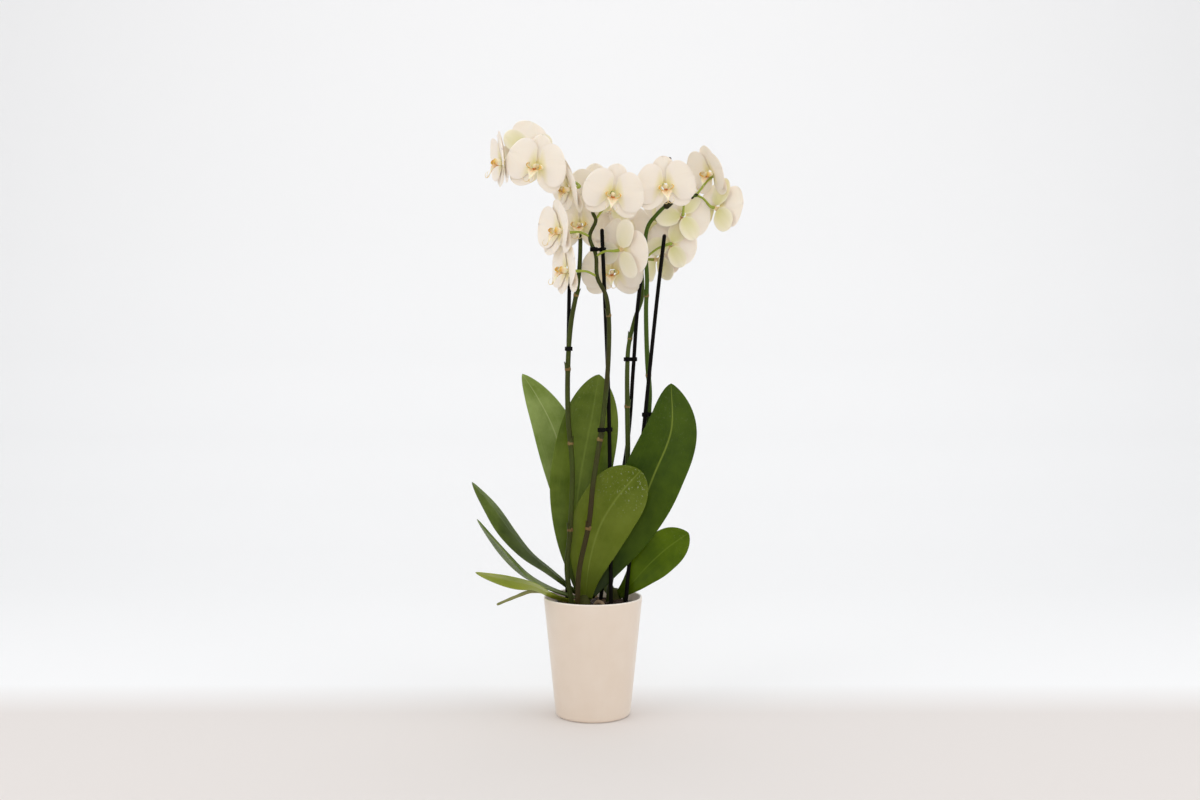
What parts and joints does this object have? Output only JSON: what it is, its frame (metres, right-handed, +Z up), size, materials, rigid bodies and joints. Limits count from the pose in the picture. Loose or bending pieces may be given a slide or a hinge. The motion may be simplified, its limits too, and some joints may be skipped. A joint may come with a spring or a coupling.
{
  "type": "potted orchid",
  "caption": "Moth orchid with tall arching flower stems, staked and clipped, in a plain tapered ceramic pot.",
  "frame": {"origin": "centre of the pot's foot, on the surface it stands on", "axes": "+Z up along the pot and the stems, +X to the viewer's right, -Y towards the viewer of the picture"},
  "size_m": [0.3615, 0.1813, 0.8005],
  "materials": {
    "ceramic": "warm cream matt glaze",
    "growing_pot": "thin dark smoky plastic",
    "bark": "damp orchid bark chips",
    "stake": "black plastic coated stake",
    "clip": "black moulded plastic",
    "crown": "firm living leaf bases",
    "leaf": "glossy waxy leaf",
    "aerial_root": "matt olive root skin",
    "flower_stem": "satin green stem skin",
    "petal": "thick soft waxy white petal"
  },
  "bodies": {
    "root": {"bark": "bark", "bloom_01": "petal", "bloom_02": "petal", "bloom_03": "petal", "bloom_04": "petal", "bloom_05": "petal", "bloom_06": "petal", "bloom_07": "petal", "bloom_08": "petal", "bloom_09": "petal", "bloom_10": "petal", "bloom_11": "petal", "bloom_12": "petal", "bloom_13": "petal", "bloom_14": "petal", "bloom_15": "petal", "bloom_16": "petal", "bloom_17": "petal", "bloom_18": "petal", "bloom_19": "petal", "bloom_20": "petal", "clip_1": "clip", "clip_2": "clip", "clip_3": "clip", "clip_4": "clip", "clip_5": "clip", "crown_left": "crown", "crown_right": "crown", "growing_pot": "growing_pot", "leaf_back": "leaf", "leaf_centre": "leaf", "leaf_front": "leaf", "leaf_left_high": "leaf", "leaf_left_low": "leaf", "leaf_left_middle": "leaf", "leaf_right": "leaf", "leaf_right_low": "leaf", "pot": "ceramic", "root_front": "aerial_root", "root_left": "aerial_root", "spike_1": "flower_stem", "spike_2": "flower_stem", "spike_3": "flower_stem", "spike_4": "flower_stem", "stake_1": "stake", "stake_2": "stake", "stake_3": "stake", "stake_4": "stake"}
  },
  "joints": []
}
